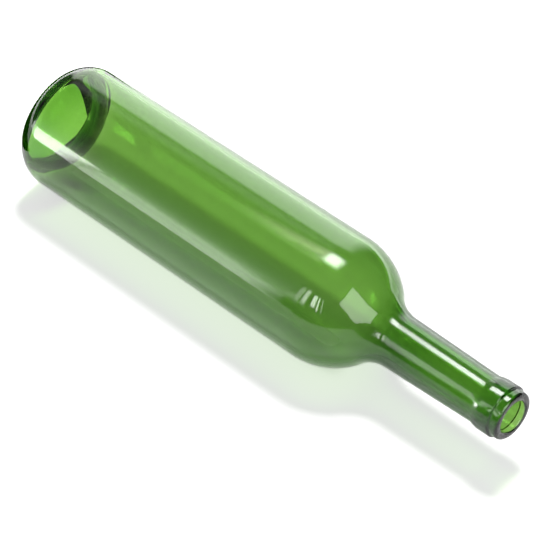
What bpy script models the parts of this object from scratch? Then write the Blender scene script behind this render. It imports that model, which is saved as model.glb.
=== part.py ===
"""An empty wine bottle of clear green glass, lying on its side: tapered body, round shoulder, long neck with a flat
band below its mouth, and a wide punt pushed up into its base.

Metres, +Z up. The bottle lies along +X with its mouth at +X, and z = 0 is the surface that it lies on. The origin is
below the middle of its length. The glass is turned as one outline about the bottle's own axis, which leans by the
body's taper, so that the body touches the surface along a line. There a narrow flat keeps it from rolling.
"""

import math

import bmesh
import bpy
from mathutils import Matrix, Vector

# Along the bottle's own axis, from the base
LENGTH = 0.3275
HEEL_END = 0.0143
SHOULDER_START = 0.2006
NECK_END = 0.3070

# Outside of the body
HEEL_RADIUS = 0.0359
SHOULDER_RADIUS = 0.0372
HEEL_ROUNDING = (0.0168, 0.0144)  # along the axis, and towards it
HEEL_TURN = 55.5  # degrees of that rounding, from the body to the bearing ring
SHOULDER_ARC = 0.0430
NECK_ROOT_ARC = 0.0237
NECK_ROOT_RADIUS = 0.0153
NECK_END_RADIUS = 0.0142

# The punt, seen from under the base
PUNT_DEPTH = 0.0180
PUNT_RADIUS = 0.0264
PUNT_FULLNESS = 2.0  # power of the superellipse that its dome follows
BEARING_ROUNDING = 0.0020
BEARING_TURN = (30, 105)  # degrees of that rounding, from the punt to the heel

# The finish, which is the glassmaker's name for the neck's banded end
BAND_START = 0.3100
BAND_FULL = 0.3135
BAND_END = 0.3221
BAND_RADIUS = 0.0153
BAND_EDGE = 0.0006
COLLAR_RADIUS = 0.0141
LIP_ROUNDING = 0.0020
MOUTH_RADIUS = 0.0094
MOUTH_ROUNDING = 0.0016

# Inside
BODY_WALL = 0.0030
SHOULDER_WALL = 0.0032
NECK_BORE = 0.0103
NECK_BORE_DEPTH = 0.0450
INNER_HEEL = 0.0022
INNER_HEEL_TURN = 80  # degrees of that rounding, from the body to the floor
FLOOR_HEIGHT = 0.0078  # glass under the deepest part of the inside
CROWN_GLASS = 0.0032  # glass on top of the punt
CROWN_RADIUS = 0.0295
CROWN_FULLNESS = 1.85

# The flat along the underside: half the angle that it takes of the body
FLAT_HALF_ANGLE = math.radians(7.5)
SEGMENTS = 48
SHARP_ANGLE = math.radians(35)

GLASS_COLOUR = (0.16, 0.36, 0.05, 1.0)
GLASS_ROUGHNESS = 0.03
GLASS_IOR = 1.52


def arc(centre, radii, start, end, steps):
    """Points (x, r) of an elliptical arc, its start included. An angle of 0 points away from the axis."""
    points = []
    for step in range(steps + 1):
        angle = math.radians(start + (end - start) * step / steps)
        points.append((centre[0] + radii[0] * math.sin(angle), centre[1] + radii[1] * math.cos(angle)))
    return points


def shoulder_and_root(start, body_radius, shoulder_arc, neck_radius, root_arc, steps):
    """The round shoulder and the hollow curve at the neck's root, which meet on one tangent."""
    drop = (neck_radius + root_arc) - (body_radius - shoulder_arc)
    reach = math.sqrt((shoulder_arc + root_arc) ** 2 - drop**2)
    turn = math.degrees(math.atan2(reach, drop))
    centre = (start, body_radius - shoulder_arc)
    root_centre = (start + reach, neck_radius + root_arc)
    shoulder = arc(centre, (shoulder_arc, shoulder_arc), 0, turn, steps[0])
    root = arc(root_centre, (-root_arc, -root_arc), turn, 0, steps[1])
    return shoulder + root[1:]


def dome(top, radius, foot, fullness, steps):
    """A dome from its top on the axis out to its foot. top and foot are places along the axis."""
    points = [(top, 0.0)]
    for step in range(1, steps):
        angle = math.pi / 2 * step / steps
        across = radius * math.sin(angle) ** (2 / fullness)
        points.append((foot + (top - foot) * math.cos(angle) ** (2 / fullness), across))
    return points + [(foot, radius)]


def outside():
    """The outer outline, from the punt's apex round the base and along the body to the lip."""
    points = dome(PUNT_DEPTH, PUNT_RADIUS, BEARING_ROUNDING, PUNT_FULLNESS, 9)
    bearing_centre = (BEARING_ROUNDING, PUNT_RADIUS + BEARING_ROUNDING)
    points += arc(bearing_centre, (-BEARING_ROUNDING, -BEARING_ROUNDING), *BEARING_TURN, 3)
    heel_centre = (HEEL_END, HEEL_RADIUS - HEEL_ROUNDING[1])
    points += arc(heel_centre, HEEL_ROUNDING, -HEEL_TURN, 0, 6)
    points += shoulder_and_root(
        SHOULDER_START, SHOULDER_RADIUS, SHOULDER_ARC, NECK_ROOT_RADIUS, NECK_ROOT_ARC, (9, 5)
    )
    points += [(NECK_END, NECK_END_RADIUS), (BAND_START, NECK_END_RADIUS + BAND_EDGE)]
    points += [(BAND_FULL, BAND_RADIUS), (BAND_END - BAND_EDGE, BAND_RADIUS)]
    points += [(BAND_END, BAND_RADIUS - BAND_EDGE), (BAND_END + BAND_EDGE, COLLAR_RADIUS)]
    lip_centre = (LENGTH - LIP_ROUNDING, COLLAR_RADIUS - LIP_ROUNDING)
    points += arc(lip_centre, (LIP_ROUNDING, LIP_ROUNDING), 0, 90, 4)
    return points


def inside():
    """The inner outline, from the mouth back through the neck and body to the top of the punt."""
    mouth_centre = (LENGTH - MOUTH_ROUNDING, MOUTH_RADIUS + MOUTH_ROUNDING)
    points = arc(mouth_centre, (MOUTH_ROUNDING, MOUTH_ROUNDING), 90, 180, 3)
    points += [(LENGTH - NECK_BORE_DEPTH, NECK_BORE)]
    back = shoulder_and_root(
        SHOULDER_START,
        SHOULDER_RADIUS - SHOULDER_WALL,
        SHOULDER_ARC - SHOULDER_WALL,
        NECK_BORE,
        NECK_ROOT_ARC + SHOULDER_WALL,
        (8, 5),
    )
    points += reversed(back)
    heel_centre = (FLOOR_HEIGHT + INNER_HEEL, HEEL_RADIUS - BODY_WALL - INNER_HEEL)
    points += arc(heel_centre, (INNER_HEEL, INNER_HEEL), 0, -INNER_HEEL_TURN, 4)
    points += reversed(dome(PUNT_DEPTH + CROWN_GLASS, CROWN_RADIUS, FLOOR_HEIGHT, CROWN_FULLNESS, 8))
    return points


def turned(name, outline):
    """A closed body of revolution about X. The outline starts and ends on the axis."""
    shape = bmesh.new()
    rings = []
    for along, radius in outline:
        if radius == 0.0:
            rings.append([shape.verts.new((along, 0.0, 0.0))])
            continue
        ring = []
        for segment in range(SEGMENTS):
            angle = 2 * math.pi * segment / SEGMENTS
            ring.append(shape.verts.new((along, radius * math.sin(angle), -radius * math.cos(angle))))
        rings.append(ring)
    for ring, following in zip(rings, rings[1:]):
        for segment in range(SEGMENTS):
            after = (segment + 1) % SEGMENTS
            corners = [ring[segment % len(ring)], following[segment % len(following)]]
            corners += [following[after % len(following)], ring[after % len(ring)]]
            shape.faces.new(list(dict.fromkeys(corners)))
    bmesh.ops.recalc_face_normals(shape, faces=shape.faces)
    mesh = bpy.data.meshes.new(name)
    shape.to_mesh(mesh)
    shape.free()
    return mesh


def flatten_underside(mesh, radius_at):
    """Moves the outer points within the flat's angle up onto one plane along the body."""
    for vertex in mesh.vertices:
        along, across, up = vertex.co
        radius = radius_at(along)
        if radius is None or math.hypot(across, up) < radius - BODY_WALL / 2:
            continue
        if up < 0 and abs(math.atan2(across, -up)) <= FLAT_HALF_ANGLE + 1e-4:
            vertex.co.z = -radius * math.cos(FLAT_HALF_ANGLE)


def body_radius(along):
    """The body's outer radius between heel and shoulder, or None beyond them."""
    start, end = HEEL_END - 1e-5, SHOULDER_START + 1e-5
    if not start <= along <= end:
        return None
    share = (along - HEEL_END) / (SHOULDER_START - HEEL_END)
    return HEEL_RADIUS + (SHOULDER_RADIUS - HEEL_RADIUS) * share


def glass():
    material = bpy.data.materials.new("green_glass")
    material.use_nodes = True
    shader = material.node_tree.nodes["Principled BSDF"]
    shader.inputs["Base Color"].default_value = GLASS_COLOUR
    shader.inputs["Roughness"].default_value = GLASS_ROUGHNESS
    shader.inputs["Metallic"].default_value = 0.0
    shader.inputs["IOR"].default_value = GLASS_IOR
    shader.inputs["Transmission Weight"].default_value = 1.0
    return material


def lay_down(bottle):
    """Leans the bottle so that its flat is level, and puts the flat on z = 0 and the origin at mid-length."""
    taper = (SHOULDER_RADIUS - HEEL_RADIUS) / (SHOULDER_START - HEEL_END)
    lean = math.atan(taper * math.cos(FLAT_HALF_ANGLE))
    turn = Matrix.Rotation(-lean, 4, "Y")
    corners = [turn @ vertex.co for vertex in bottle.data.vertices]
    lowest = min(corner.z for corner in corners)
    middle = (min(corner.x for corner in corners) + max(corner.x for corner in corners)) / 2
    bottle.rotation_euler = turn.to_euler()
    bottle.location = Vector((-middle, 0.0, -lowest))


def main():
    for old in list(bpy.data.objects):
        bpy.data.objects.remove(old, do_unlink=True)
    mesh = turned("bottle", outside() + inside())
    flatten_underside(mesh, body_radius)
    mesh.materials.append(glass())
    mesh.shade_smooth()
    mesh.set_sharp_from_angle(angle=SHARP_ANGLE)
    bottle = bpy.data.objects.new("bottle", mesh)
    bpy.context.scene.collection.objects.link(bottle)
    lay_down(bottle)


main()
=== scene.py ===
"""An empty wine bottle of clear green glass, lying on its side on a white floor.

Metres, +Z up. The bottle lies along +X with its mouth at +X. Its glass is one closed shape, turned from an
outline about the bottle's own axis. Outline points are (x, r): the place along that axis from the base, and the
radius. The light is shaped for this bottle: cards and sheets that the camera can't see show in the glass. The
sheets just above the floor are painted reflections, and the floor's glow carries painted shade and light.
"""

import math

import bpy
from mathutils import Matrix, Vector

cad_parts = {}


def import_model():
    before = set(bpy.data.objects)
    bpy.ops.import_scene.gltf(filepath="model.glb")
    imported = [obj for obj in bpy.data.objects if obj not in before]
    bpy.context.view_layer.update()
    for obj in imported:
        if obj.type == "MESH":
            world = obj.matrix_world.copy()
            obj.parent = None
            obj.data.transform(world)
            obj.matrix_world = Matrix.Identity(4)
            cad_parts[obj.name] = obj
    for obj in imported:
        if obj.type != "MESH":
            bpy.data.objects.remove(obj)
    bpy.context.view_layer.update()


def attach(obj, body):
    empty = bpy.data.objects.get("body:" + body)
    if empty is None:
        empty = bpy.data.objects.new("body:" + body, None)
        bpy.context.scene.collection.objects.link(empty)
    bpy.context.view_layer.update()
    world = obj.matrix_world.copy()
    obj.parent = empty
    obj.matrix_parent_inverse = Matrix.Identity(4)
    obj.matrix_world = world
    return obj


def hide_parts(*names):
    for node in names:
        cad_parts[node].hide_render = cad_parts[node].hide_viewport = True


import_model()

# Along the bottle's own axis, from the base
LENGTH = 0.3275
SHOULDER_START = 0.2006
NECK_END = 0.3070

# Outside of the body
HEEL_RADIUS = 0.0359
SHOULDER_RADIUS = 0.0372
HEEL_END = 0.0143
HEEL_ROUNDING = (0.0168, 0.0144)  # along the axis, and towards it
HEEL_TURN = 55.5  # degrees of that rounding, from the body to the bearing ring
SHOULDER_ARC = 0.0430
NECK_ROOT_ARC = 0.0237
NECK_ROOT_RADIUS = 0.0153
NECK_END_RADIUS = 0.0142
FLAT_HALF_ANGLE = math.radians(7.5)  # half the angle of the body that the flat along the underside takes

# The punt, seen from under the base
PUNT_DEPTH = 0.0180
PUNT_RADIUS = 0.0264
PUNT_FULLNESS = 2.0  # power of the superellipse that its dome follows
BEARING_ROUNDING = 0.0020
BEARING_TURN = (15, 122)  # degrees of that rounding, from the punt to the heel

# The finish, which is the glassmaker's name for the neck's banded end
BAND_START = 0.3100
BAND_FULL = 0.3135
BAND_END = 0.3221
BAND_RADIUS = 0.0153
BAND_STEP = 0.0006
BAND_RISE = 0.0003  # along the axis: the step up to the band, and the first part of the step down from it
BAND_DROP = 0.0004  # along the axis: the rest of the step down
BAND_SOFTNESS = 0.0004  # how far from each corner its rounding starts
COLLAR_RADIUS = 0.0141
LIP_ROUNDING = 0.0020
MOUTH_RADIUS = 0.0094
MOUTH_ROUNDING = 0.0016

# Inside
BODY_WALL = 0.0030
SHOULDER_WALL = 0.0032
NECK_BORE = 0.0103
NECK_BORE_DEPTH = 0.0450
INNER_HEEL = 0.0022
INNER_HEEL_TURN = 80  # degrees of that rounding, from the body to the floor
FLOOR_HEIGHT = 0.0078
CROWN_GLASS = 0.0032
CROWN_RADIUS = 0.0295
CROWN_FULLNESS = 1.85

# How finely the glass is turned
SEGMENTS = 360
MERGE = 2e-6
LONGEST_ROUNDING = 0.45  # share of a stretch that the rounding at one of its ends may take

# Relief of the mould: bars round the bearing ring, and the slow waves of blown glass
KNURL_COUNT = 72
KNURL_DEPTH = 0.00025
KNURL_RANGE = (0.0265, 0.0300)  # radii between which the bars lie
KNURL_REACH = 0.0030  # how far they go along the axis, from the middle of the bearing ring's rounding
KNURL_FULLNESS = 0.5  # power of the sine that their height follows across that range
WAVE_HEIGHT = 0.00006
WAVE_SCALE = 26.0
WAVE_DETAIL = 1.0
OUTER_WAVE = 0.3  # share of the height that the outside takes. The inside takes all of it.
WAVE_FADE = 100.0  # per metre: towards the axis, the waves fade out over the last 10 mm
SEED = 7

# The glass
IOR = 1.52
ABSORPTION = (330.0, 195.0, 500.0)  # of red, green and blue light, for each metre of glass

# The camera, at the photograph's angle
AZIMUTH = math.radians(42.5)
ELEVATION = math.radians(46.97)
AIM = Vector((0.00378, -0.00775, 0.0360))
DISTANCE = 2.65343
FOCAL_PIXELS = 5000.0
PICTURE_PIXELS = 550.0
SENSOR = 36.0
CLIP_END = 50.0

# The floor, the key light and the room
FLOOR_SIZE = 6.0
FLOOR_COLOUR = (0.82, 0.82, 0.82)
FLOOR_ROUGHNESS = 0.6
KEY_DIRECTION = (-0.14, 0.29, 0.97)
KEY_DISTANCE = 3.0
KEY_SIZE = 0.55
KEY_POWER = 66.0
ROOM_GLOW = 0.12  # as the glass shows it
FLOOR_LIGHT = 0.2  # the same room's light on the floor, and to the camera

# The floor's own glow. Along the bottle it carries painted shade in strips: the middle and the half-width across,
# and the depth, which is below 0 where the strip is painted light instead. They lie round CONTACT_MIDDLE and end
# within CONTACT_REACH.
FLOOR_FILL = 0.64
CONTACT = ((0.027, 0.012, -0.26), (-0.006, 0.018, 0.35), (-0.011, 0.008, 0.70))
CONTACT_MIDDLE = -0.056
CONTACT_REACH = (0.085, 0.115)
# Directions in which the floor brightens with painted light, where that starts and is full in metres, and by how
# much
SWEEPS = (((-0.676, 0.737, 0.0), 0.10, 0.45, 1.6),)

# Softboxes, fitted to the reflections on the glass: name, place, facing, size, glow, feather, and where they
# differ from a plain card, colour and fall
WHITE = (1.0, 1.0, 1.0)
DOWN = (0.0, 0.0, -1.0)
TO_FRONT = (0.0, -1.0, 0.0)
TO_BACK = (0.0, 1.0, 0.0)
CARDS = (
    ("back_sweep", (-1.3, 1.6, 0.66), TO_FRONT, (2.4, 2.30), 2.9, 0.22),
    ("top_softbox", (-0.19, 0.30, 1.0), DOWN, (0.62, 0.54), 19.0, 0.36),
    ("top_glow", (-0.46, 0.30, 1.0), DOWN, (0.24, 0.75), 4.5, 0.45, (1.0, 0.88, 0.76)),
    ("top_fill", (-0.75, 0.68, 1.0), DOWN, (0.9, 0.65), 0.7, 0.45),
    ("front_sweep", (-1.23, -1.0, 0.75), TO_BACK, (1.5, 1.6), 5.2, 0.04, WHITE, (0.28, 2.4)),
    ("low_front", (-0.91, -1.0, 0.20), TO_BACK, (0.42, 0.38), 12.0, 0.08),
    ("front_fill", (-0.42, -1.0, 0.70), TO_BACK, (0.26, 0.90), 3.2, 0.3),
    ("window_1", (-0.20, -1.0, 0.75), TO_BACK, (0.20, 0.85), 7.0, 0.3),
    ("window_2", (0.09, -1.0, 0.75), TO_BACK, (0.16, 0.60), 10.0, 0.2),
    ("window_3", (0.23, -1.0, 0.71), TO_BACK, (0.07, 0.66), 9.0, 0.2),
    ("window_4", (0.36, -1.0, 0.71), TO_BACK, (0.06, 0.66), 3.0, 0.2),
)

# Sheets with hard edges: name, corners and glow. Those just above the floor are painted reflections: a black
# sheet for the dark rim, and a dark and a bright sheet for the shapes inside the base.
SHEET_HEIGHT = 0.001
BASE_PAINTED_BRIGHT_HEIGHT = 0.0012
RIGHT_SOFTBOX = [(1.0, 0.16, 0.2), (1.0, 0.12, 1.55), (1.0, -0.85, 1.15), (1.0, -0.44, 0.22)]
# Outlines of the painted reflections on the floor: the rim's dark one, the base's dark one and its bright one
LEFT_PAINTED_DARK = [(-0.45, -0.10), (-0.206, -0.10), (-0.206, 0.15), (-0.45, 0.15)]
BASE_PAINTED_DARK = [(-0.203, 0.0575), (-0.178, 0.038), (-0.170, 0.036), (-0.170, -0.002), (-0.1645, -0.002)]
BASE_PAINTED_DARK += [(-0.1645, 0.035), (-0.175, 0.056), (-0.185, 0.066), (-0.203, 0.068)]
BASE_PAINTED_BRIGHT = [(-0.206, -0.02), (-0.170, -0.02), (-0.170, 0.036), (-0.178, 0.038), (-0.206, 0.0595)]
SHEETS = (
    ("right_softbox", RIGHT_SOFTBOX, 4.7),
    # Painted dark reflection for the rim, then painted dark and bright reflections inside the base
    ("left_painted_dark", [(x, y, SHEET_HEIGHT) for x, y in LEFT_PAINTED_DARK], 0.0),
    ("base_painted_dark", [(x, y, SHEET_HEIGHT) for x, y in BASE_PAINTED_DARK], 0.03),
    ("base_painted_bright", [(x, y, BASE_PAINTED_BRIGHT_HEIGHT) for x, y in BASE_PAINTED_BRIGHT], 2.4),
)


def arc(centre, radii, start, end, steps):
    """Points (x, r) of an elliptical arc, its start included. An angle of 0 points away from the axis."""
    points = []
    for step in range(steps + 1):
        angle = math.radians(start + (end - start) * step / steps)
        points.append((centre[0] + radii[0] * math.sin(angle), centre[1] + radii[1] * math.cos(angle)))
    return points


def run(start, end, steps):
    """Points of a straight stretch, without its two ends."""
    shares = [step / steps for step in range(1, steps)]
    return [(start[0] + (end[0] - start[0]) * s, start[1] + (end[1] - start[1]) * s) for s in shares]


def shoulder_and_root(start, body_radius, shoulder_arc, neck_radius, root_arc, steps):
    """The round shoulder and the hollow curve at the neck's root, which meet on one tangent."""
    drop = (neck_radius + root_arc) - (body_radius - shoulder_arc)
    reach = math.sqrt((shoulder_arc + root_arc) ** 2 - drop**2)
    turn = math.degrees(math.atan2(reach, drop))
    centre = (start, body_radius - shoulder_arc)
    root_centre = (start + reach, neck_radius + root_arc)
    shoulder = arc(centre, (shoulder_arc, shoulder_arc), 0, turn, steps[0])
    root = arc(root_centre, (-root_arc, -root_arc), turn, 0, steps[1])
    return shoulder + root[1:]


def dome(top, radius, foot, fullness, steps):
    """A dome from its top on the axis out to its foot. top and foot are places along the axis."""
    points = [(top, 0.0)]
    for step in range(1, steps):
        angle = math.pi / 2 * step / steps
        across = radius * math.sin(angle) ** (2 / fullness)
        points.append((foot + (top - foot) * math.cos(angle) ** (2 / fullness), across))
    return points + [(foot, radius)]


def softened(points, corner, steps=5):
    """The polyline with each inner corner rounded off by a curve that starts corner away from it."""
    result = [points[0]]
    for before, here, after in zip(points, points[1:], points[2:]):
        ends = []
        for other in (before, after):
            away = Vector(other) - Vector(here)
            ends.append(Vector(here) + away * min(corner / away.length, LONGEST_ROUNDING))
        for step in range(steps + 1):
            s = step / steps
            point = ends[0] * (1 - s) ** 2 + Vector(here) * 2 * s * (1 - s) + ends[1] * s**2
            result.append((point.x, point.y))
    return result + [points[-1]]


def finish_outline():
    """The neck's end: the step up to the band, the band, the step down to the collar, and the round lip."""
    edges = [(NECK_END, NECK_END_RADIUS), (BAND_START, NECK_END_RADIUS)]
    edges += [(BAND_START + BAND_RISE, NECK_END_RADIUS + BAND_STEP), (BAND_FULL, BAND_RADIUS)]
    edges += [(BAND_END - BAND_RISE, BAND_RADIUS), (BAND_END + BAND_DROP, COLLAR_RADIUS)]
    lip_centre = (LENGTH - LIP_ROUNDING, COLLAR_RADIUS - LIP_ROUNDING)
    edges += [(lip_centre[0], COLLAR_RADIUS)]
    return softened(edges, BAND_SOFTNESS)[:-1] + arc(lip_centre, (LIP_ROUNDING, LIP_ROUNDING), 0, 90, 12)


def outside():
    """The outer outline, from the punt's apex round the base and along the body to the lip."""
    points = dome(PUNT_DEPTH, PUNT_RADIUS, BEARING_ROUNDING, PUNT_FULLNESS, 24)
    bearing_centre = (BEARING_ROUNDING, PUNT_RADIUS + BEARING_ROUNDING)
    points += arc(bearing_centre, (-BEARING_ROUNDING, -BEARING_ROUNDING), *BEARING_TURN, 8)
    heel_centre = (HEEL_END, HEEL_RADIUS - HEEL_ROUNDING[1])
    points += arc(heel_centre, HEEL_ROUNDING, -HEEL_TURN, 0, 24)
    points += run((HEEL_END, HEEL_RADIUS), (SHOULDER_START, SHOULDER_RADIUS), 24)
    points += shoulder_and_root(
        SHOULDER_START, SHOULDER_RADIUS, SHOULDER_ARC, NECK_ROOT_RADIUS, NECK_ROOT_ARC, (26, 16)
    )
    points += run(points[-1], (NECK_END, NECK_END_RADIUS), 10)
    return points + finish_outline()


def inside():
    """The inner outline, from the mouth back through the neck and body to the top of the punt."""
    mouth_centre = (LENGTH - MOUTH_ROUNDING, MOUTH_RADIUS + MOUTH_ROUNDING)
    points = arc(mouth_centre, (MOUTH_ROUNDING, MOUTH_ROUNDING), 90, 180, 8)
    bore_end = (LENGTH - NECK_BORE_DEPTH, NECK_BORE)
    points += run(points[-1], bore_end, 8) + [bore_end]
    back = shoulder_and_root(
        SHOULDER_START,
        SHOULDER_RADIUS - SHOULDER_WALL,
        SHOULDER_ARC - SHOULDER_WALL,
        NECK_BORE,
        NECK_ROOT_ARC + SHOULDER_WALL,
        (18, 12),
    )
    points += reversed(back)
    heel_centre = (FLOOR_HEIGHT + INNER_HEEL, HEEL_RADIUS - BODY_WALL - INNER_HEEL)
    heel = arc(heel_centre, (INNER_HEEL, INNER_HEEL), 0, -INNER_HEEL_TURN, 10)
    points += run(back[0], heel[0], 14) + heel
    points += reversed(dome(PUNT_DEPTH + CROWN_GLASS, CROWN_RADIUS, FLOOR_HEIGHT, CROWN_FULLNESS, 20))
    return points


def knurl_share(along, radius):
    """The share of the bars' height that a point of the outside takes: 1 in mid-range, 0 at its ends."""
    low, high = KNURL_RANGE
    if along > BEARING_ROUNDING + KNURL_REACH or not low < radius < high:
        return 0.0
    return math.sin(math.pi * (radius - low) / (high - low)) ** KNURL_FULLNESS


def outline_mesh():
    """The whole outline as points in order, each with its share of the bars and of the waves."""
    outer = outside()
    inner = inside()
    mesh = bpy.data.meshes.new("outline")
    mesh.from_pydata([(x, r, 0.0) for x, r in outer + inner], [], [])
    knurl = mesh.attributes.new("knurl", "FLOAT", "POINT")
    knurl.data.foreach_set("value", [knurl_share(x, r) for x, r in outer] + [0.0] * len(inner))
    wave = mesh.attributes.new("wave", "FLOAT", "POINT")
    wave.data.foreach_set("value", [OUTER_WAVE] * len(outer) + [1.0] * len(inner))
    return mesh


def add(tree, kind, inputs=None, **settings):
    """A node with its settings, and with its inputs given as values or as the sockets that feed them."""
    node = tree.nodes.new(kind)
    for name, value in settings.items():
        setattr(node, name, value)
    for socket, value in (inputs or {}).items():
        if isinstance(value, bpy.types.NodeSocket):
            tree.links.new(value, node.inputs[socket])
        else:
            node.inputs[socket].default_value = value
    return node


def calculate(tree, operation, a, b=0.0):
    """The output of one Math node."""
    return add(tree, "ShaderNodeMath", {0: a, 1: b}, operation=operation).outputs[0]


def sampled(tree, mesh, value, index, kind):
    """The value of a field at one point of the outline."""
    node = add(tree, "GeometryNodeSampleIndex", data_type=kind)
    tree.links.new(mesh, node.inputs["Geometry"])
    tree.links.new(value, node.inputs["Value"])
    tree.links.new(index, node.inputs["Index"])
    return node.outputs[0]


def named(tree, name):
    return add(tree, "GeometryNodeInputNamedAttribute", {"Name": name}, data_type="FLOAT").outputs[0]


def turning_tree():
    """Turns an outline into glass: a grid of rings and segments is wrapped round the X axis."""
    tree = bpy.data.node_groups.new("turned_glass", "GeometryNodeTree")
    tree.is_modifier = True
    face = tree.interface
    face.new_socket("Outline", in_out="INPUT", socket_type="NodeSocketGeometry")
    for name, kind in (
        ("Segments", "NodeSocketInt"),
        ("Knurl Count", "NodeSocketInt"),
        ("Knurl Depth", "NodeSocketFloat"),
        ("Wave Height", "NodeSocketFloat"),
        ("Wave Scale", "NodeSocketFloat"),
        ("Seed", "NodeSocketInt"),
        ("Lean", "NodeSocketFloat"),
        ("Place", "NodeSocketVector"),
        ("Glass", "NodeSocketMaterial"),
    ):
        face.new_socket(name, in_out="INPUT", socket_type=kind)
    face.new_socket("Bottle", in_out="OUTPUT", socket_type="NodeSocketGeometry")
    given = add(tree, "NodeGroupInput").outputs
    outline = given["Outline"]

    rings = add(tree, "GeometryNodeAttributeDomainSize", {"Geometry": outline}, component="MESH")
    across = calculate(tree, "ADD", given["Segments"], 1.0)
    counts = {"Vertices X": rings.outputs["Point Count"], "Vertices Y": across}
    grid = add(tree, "GeometryNodeMeshGrid", counts)
    index = add(tree, "GeometryNodeInputIndex").outputs[0]
    middle = calculate(tree, "ADD", index, 0.5)
    ring = calculate(tree, "FLOOR", calculate(tree, "DIVIDE", middle, across))
    segment = calculate(tree, "SUBTRACT", index, calculate(tree, "MULTIPLY", ring, across))
    turn = calculate(tree, "DIVIDE", segment, given["Segments"])
    angle = calculate(tree, "MULTIPLY", turn, -2 * math.pi)
    sine = calculate(tree, "SINE", angle)
    cosine = calculate(tree, "COSINE", angle)

    place = add(tree, "GeometryNodeInputPosition").outputs[0]
    point = sampled(tree, outline, place, ring, "FLOAT_VECTOR")
    point = add(tree, "ShaderNodeSeparateXYZ", {0: point}).outputs
    knurl = sampled(tree, outline, named(tree, "knurl"), ring, "FLOAT")
    wave = sampled(tree, outline, named(tree, "wave"), ring, "FLOAT")

    # The bars are cut into the base, towards +X
    bars = calculate(tree, "SINE", calculate(tree, "MULTIPLY", angle, given["Knurl Count"]))
    bars = calculate(tree, "MAXIMUM", bars, 0.0)
    bars = calculate(tree, "MULTIPLY", calculate(tree, "MULTIPLY", bars, knurl), given["Knurl Depth"])
    along = calculate(tree, "ADD", point[0], bars)

    # The waves are read on a circle, so that they close on themselves
    spot = add(tree, "ShaderNodeCombineXYZ", {0: point[0]})
    tree.links.new(calculate(tree, "MULTIPLY", sine, point[1]), spot.inputs[1])
    tree.links.new(calculate(tree, "MULTIPLY", cosine, point[1]), spot.inputs[2])
    layer = calculate(tree, "ADD", wave, given["Seed"])
    look = {"Vector": spot.outputs[0], "W": layer, "Scale": given["Wave Scale"], "Detail": WAVE_DETAIL}
    noise = add(tree, "ShaderNodeTexNoise", look, noise_dimensions="4D")
    swell = calculate(tree, "SUBTRACT", noise.outputs[0], 0.5)
    swell = calculate(tree, "MULTIPLY", calculate(tree, "MULTIPLY", swell, wave), given["Wave Height"])
    inwards = calculate(tree, "MINIMUM", calculate(tree, "MULTIPLY", point[1], WAVE_FADE), 1.0)
    radius = calculate(tree, "ADD", point[1], calculate(tree, "MULTIPLY", swell, inwards))

    wrapped = add(tree, "ShaderNodeCombineXYZ", {0: along})
    tree.links.new(calculate(tree, "MULTIPLY", radius, sine), wrapped.inputs[1])
    down = calculate(tree, "MULTIPLY", calculate(tree, "MULTIPLY", radius, cosine), -1.0)
    tree.links.new(down, wrapped.inputs[2])
    leaned = add(tree, "ShaderNodeVectorRotate", {"Vector": wrapped.outputs[0]}, rotation_type="Y_AXIS")
    tree.links.new(given["Lean"], leaned.inputs["Angle"])
    placed = add(tree, "ShaderNodeVectorMath", {0: leaned.outputs[0], 1: given["Place"]}, operation="ADD")
    # What would sink below the surface is the flat along the underside
    lowest = (-1.0, -1.0, 0.0)
    flat = add(tree, "ShaderNodeVectorMath", {0: placed.outputs[0], 1: lowest}, operation="MAXIMUM")

    shape = grid.outputs["Mesh"]
    for kind, inputs in (
        ("GeometryNodeSetPosition", {"Position": flat.outputs[0]}),
        ("GeometryNodeMergeByDistance", {"Distance": MERGE}),
        ("GeometryNodeSetShadeSmooth", {"Shade Smooth": True}),
        ("GeometryNodeRealizeInstances", {}),
        ("GeometryNodeSetMaterial", {"Material": given["Glass"]}),
    ):
        shape = add(tree, kind, {"Geometry": shape, **inputs}).outputs[0]
    add(tree, "NodeGroupOutput", {0: shape})
    return tree


def lie_down(points):
    """The lean that levels the flat, and where the axis's start goes, so that the flat is at z = 0."""
    taper = (SHOULDER_RADIUS - HEEL_RADIUS) / (SHOULDER_START - HEEL_END)
    lean = math.atan(taper * math.cos(FLAT_HALF_ANGLE))
    lowest = HEEL_RADIUS * math.cos(FLAT_HALF_ANGLE) * math.cos(lean) - HEEL_END * math.sin(lean)
    back = min(x * math.cos(lean) - r * math.sin(lean) for x, r in points)
    front = max(x * math.cos(lean) + r * math.sin(lean) for x, r in points)
    return -lean, Vector((-(back + front) / 2, 0.0, lowest))


def bottle_glass(material):
    """The turned glass as a plain mesh object."""
    maker = bpy.data.objects.new("outline", outline_mesh())
    bpy.context.scene.collection.objects.link(maker)
    tree = turning_tree()
    turn = maker.modifiers.new("turn", "NODES")
    turn.node_group = tree
    lean, place = lie_down(outside())
    values = {
        "Segments": SEGMENTS,
        "Knurl Count": KNURL_COUNT,
        "Knurl Depth": KNURL_DEPTH,
        "Wave Height": WAVE_HEIGHT,
        "Wave Scale": WAVE_SCALE,
        "Seed": SEED,
        "Lean": lean,
        "Place": place,
        "Glass": material,
    }
    for item in tree.interface.items_tree:
        if item.name in values:
            turn[item.identifier] = values[item.name]
    graph = bpy.context.evaluated_depsgraph_get()
    mesh = bpy.data.meshes.new_from_object(maker.evaluated_get(graph))
    mesh.name = "bottle_glass"
    glass = bpy.data.objects.new("bottle_glass", mesh)
    bpy.context.scene.collection.objects.link(glass)
    bpy.data.objects.remove(maker, do_unlink=True)
    return glass


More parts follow.
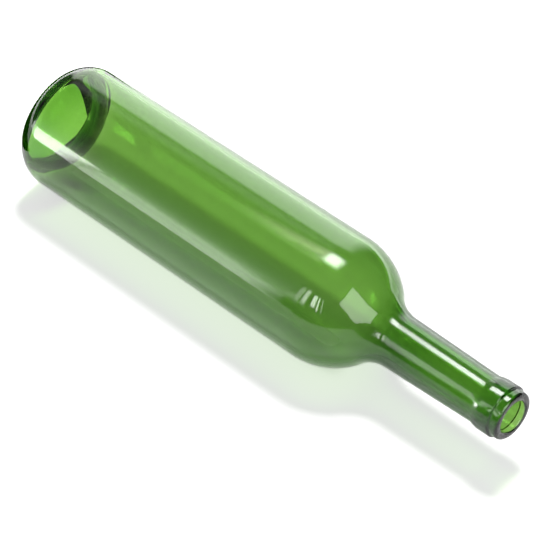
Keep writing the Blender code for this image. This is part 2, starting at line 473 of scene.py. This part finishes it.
def green_glass():
    material = bpy.data.materials.new("green_glass")
    material.use_nodes = True
    tree = material.node_tree
    shader = tree.nodes["Principled BSDF"]
    output = tree.nodes["Material Output"]
    shader.inputs["Base Color"].default_value = (1.0, 1.0, 1.0, 1.0)
    shader.inputs["Roughness"].default_value = 0.0
    shader.inputs["Metallic"].default_value = 0.0
    shader.inputs["IOR"].default_value = IOR
    shader.inputs["Transmission Weight"].default_value = 1.0
    density = max(ABSORPTION)
    volume = add(tree, "ShaderNodeVolumeAbsorption", {"Density": density})
    volume.inputs["Color"].default_value = [1 - share / density for share in ABSORPTION] + [1.0]
    tree.links.new(volume.outputs[0], output.inputs["Volume"])
    # Light on its way to or from the white floor goes straight through, coloured by the glass
    path = add(tree, "ShaderNodeLightPath").outputs
    clear = add(tree, "ShaderNodeBsdfTransparent").outputs[0]
    lit = add(tree, "ShaderNodeMixShader", {0: path["Is Shadow Ray"], 1: shader.outputs[0], 2: clear})
    seen = add(tree, "ShaderNodeMixShader", {0: path["Is Diffuse Ray"], 1: lit.outputs[0], 2: clear})
    tree.links.new(seen.outputs[0], output.inputs["Surface"])
    return material


def floor_glow(tree):
    """How brightly the floor shines by itself. It is uneven: painted shade below the bottle, painted light far
    behind.
    """
    place = add(tree, "ShaderNodeNewGeometry").outputs["Position"]
    part = add(tree, "ShaderNodeSeparateXYZ", {0: place}).outputs
    glow = FLOOR_FILL
    # Painted contact shade under the bottle, and painted light where the depth is below 0
    for centre, width, depth in CONTACT:
        away = calculate(tree, "ABSOLUTE", calculate(tree, "SUBTRACT", part[1], centre))
        shade = add(tree, "ShaderNodeMapRange", {0: away, 1: width, 2: 0.0, 3: 0.0, 4: 1.0})
        shade.interpolation_type = "SMOOTHSTEP"
        end = calculate(tree, "ABSOLUTE", calculate(tree, "SUBTRACT", part[0], CONTACT_MIDDLE))
        full, none = CONTACT_REACH
        reach = add(tree, "ShaderNodeMapRange", {0: end, 1: none, 2: full, 3: 0.0, 4: depth})
        reach.interpolation_type = "SMOOTHSTEP"
        both = calculate(tree, "MULTIPLY", shade.outputs[0], reach.outputs[0])
        glow = calculate(tree, "MULTIPLY", calculate(tree, "SUBTRACT", 1.0, both), glow)
    # Painted light: the floor brightens far behind the bottle
    for direction, start, full, strength in SWEEPS:
        away = add(tree, "ShaderNodeVectorMath", {0: place, 1: direction}, operation="DOT_PRODUCT")
        limits = {0: away.outputs["Value"], 1: start, 2: full, 3: 0.0, 4: strength}
        sweep = add(tree, "ShaderNodeMapRange", limits)
        sweep.interpolation_type = "SMOOTHSTEP"
        glow = calculate(tree, "ADD", glow, sweep.outputs[0])
    return glow


def floor():
    """The white floor that the bottle lies on."""
    bpy.ops.mesh.primitive_plane_add(size=FLOOR_SIZE, location=(0.0, 0.0, 0.0))
    plane = bpy.context.active_object
    plane.name = "floor"
    material = bpy.data.materials.new("white_floor")
    material.use_nodes = True
    tree = material.node_tree
    shader = tree.nodes["Principled BSDF"]
    shader.inputs["Base Color"].default_value = (*FLOOR_COLOUR, 1.0)
    shader.inputs["Roughness"].default_value = FLOOR_ROUGHNESS
    shader.inputs["Specular IOR Level"].default_value = 0.0
    shader.inputs["Emission Color"].default_value = (1.0, 1.0, 1.0, 1.0)
    tree.links.new(floor_glow(tree), shader.inputs["Emission Strength"])
    plane.data.materials.append(material)


def aimed(thing, place, target):
    thing.location = place
    thing.rotation_mode = "QUATERNION"
    thing.rotation_quaternion = (Vector(target) - Vector(place)).to_track_quat("-Z", "Y")


def sheet(name, corners, glow):
    """A flat card between the given corners, which shows only in the glass. With no glow it is black. Those laid
    just above the floor are painted dark and bright reflections in the rim and base.
    """
    mesh = bpy.data.meshes.new(name)
    mesh.from_pydata(corners, [], [tuple(range(len(corners)))])
    panel = bpy.data.objects.new(name, mesh)
    bpy.context.scene.collection.objects.link(panel)
    material = bpy.data.materials.new(name)
    material.use_nodes = True
    tree = material.node_tree
    tree.nodes.clear()
    light = add(tree, "ShaderNodeEmission", {"Strength": glow})
    add(tree, "ShaderNodeOutputMaterial", {"Surface": light.outputs[0]})
    mesh.materials.append(material)
    unseen(panel)


def unseen(panel):
    """Keeps a panel of the studio out of the picture and of the floor's light."""
    panel.visible_camera = False
    panel.visible_diffuse = False
    panel.visible_shadow = False


def card(name, place, facing, size, glow, feather, colour=WHITE, fall=None):
    """A softbox that shows only in the glass, and adds its light to what is behind it. Its edges fade over
    the share feather of its size. fall is the height from which it dims, and the power by which it does."""
    mesh = bpy.data.meshes.new(name)
    x, y = size[0] / 2, size[1] / 2
    mesh.from_pydata([(-x, -y, 0), (x, -y, 0), (x, y, 0), (-x, y, 0)], [], [(0, 1, 2, 3)])
    panel = bpy.data.objects.new(name, mesh)
    bpy.context.scene.collection.objects.link(panel)
    aimed(panel, place, Vector(place) + Vector(facing))
    material = bpy.data.materials.new(name)
    material.use_nodes = True
    tree = material.node_tree
    tree.nodes.clear()
    where = add(tree, "ShaderNodeTexCoord").outputs["Object"]
    parts = add(tree, "ShaderNodeSeparateXYZ", {0: where}).outputs
    fades = []
    for side, reach in enumerate((x, y)):
        away = calculate(tree, "ABSOLUTE", calculate(tree, "DIVIDE", parts[side], reach))
        fade = add(tree, "ShaderNodeMapRange", {0: away, 1: 1.0, 2: 1.0 - 2 * feather, 3: 0.0, 4: 1.0})
        fade.interpolation_type = "SMOOTHSTEP"
        fades.append(fade.outputs[0])
    strength = calculate(tree, "MULTIPLY", calculate(tree, "MULTIPLY", *fades), glow)
    if fall:
        position = add(tree, "ShaderNodeNewGeometry").outputs["Position"]
        height = add(tree, "ShaderNodeSeparateXYZ", {0: position}).outputs[2]
        dim = calculate(tree, "POWER", calculate(tree, "DIVIDE", fall[0], height), fall[1])
        strength = calculate(tree, "MULTIPLY", strength, calculate(tree, "MINIMUM", dim, 1.0))
    light = add(tree, "ShaderNodeEmission", {"Color": (*colour, 1.0), "Strength": strength})
    clear = add(tree, "ShaderNodeBsdfTransparent")
    both = add(tree, "ShaderNodeAddShader", {0: light.outputs[0], 1: clear.outputs[0]})
    add(tree, "ShaderNodeOutputMaterial", {"Surface": both.outputs[0]})
    mesh.materials.append(material)
    unseen(panel)


def key_light():
    data = bpy.data.lights.new("key", "AREA")
    data.size = KEY_SIZE
    data.energy = KEY_POWER
    light = bpy.data.objects.new("key", data)
    bpy.context.scene.collection.objects.link(light)
    aimed(light, Vector(KEY_DIRECTION).normalized() * KEY_DISTANCE, (0.0, 0.0, 0.0))
    light.visible_camera = False
    light.visible_glossy = False
    light.visible_transmission = False


def world():
    """A dim room. It lights the floor a little more than it shows in the glass."""
    room = bpy.data.worlds.new("studio")
    bpy.context.scene.world = room
    room.use_nodes = True
    tree = room.node_tree
    shader = tree.nodes["Background"]
    path = add(tree, "ShaderNodeLightPath").outputs
    bent = calculate(tree, "MAXIMUM", path["Is Glossy Ray"], path["Is Transmission Ray"])
    strength = calculate(tree, "MULTIPLY_ADD", bent, ROOM_GLOW - FLOOR_LIGHT)
    strength.node.inputs[2].default_value = FLOOR_LIGHT
    tree.links.new(strength, shader.inputs["Strength"])
    shader.inputs["Color"].default_value = (1.0, 1.0, 1.0, 1.0)


def camera():
    data = bpy.data.cameras.new("camera")
    data.sensor_width = SENSOR
    data.lens = FOCAL_PIXELS * SENSOR / PICTURE_PIXELS
    data.clip_end = CLIP_END
    view = bpy.data.objects.new("camera", data)
    bpy.context.scene.collection.objects.link(view)
    level = math.cos(ELEVATION)
    back = Vector((math.sin(AZIMUTH) * level, -math.cos(AZIMUTH) * level, math.sin(ELEVATION)))
    aimed(view, AIM + back * DISTANCE, AIM)
    bpy.context.scene.camera = view


camera()
floor()
world()
key_light()
for values in CARDS:
    card(*values)
for values in SHEETS:
    sheet(*values)

glass = bottle_glass(green_glass())
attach(glass, "root")
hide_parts("bottle")

bpy.context.scene.view_settings.view_transform = "Standard"
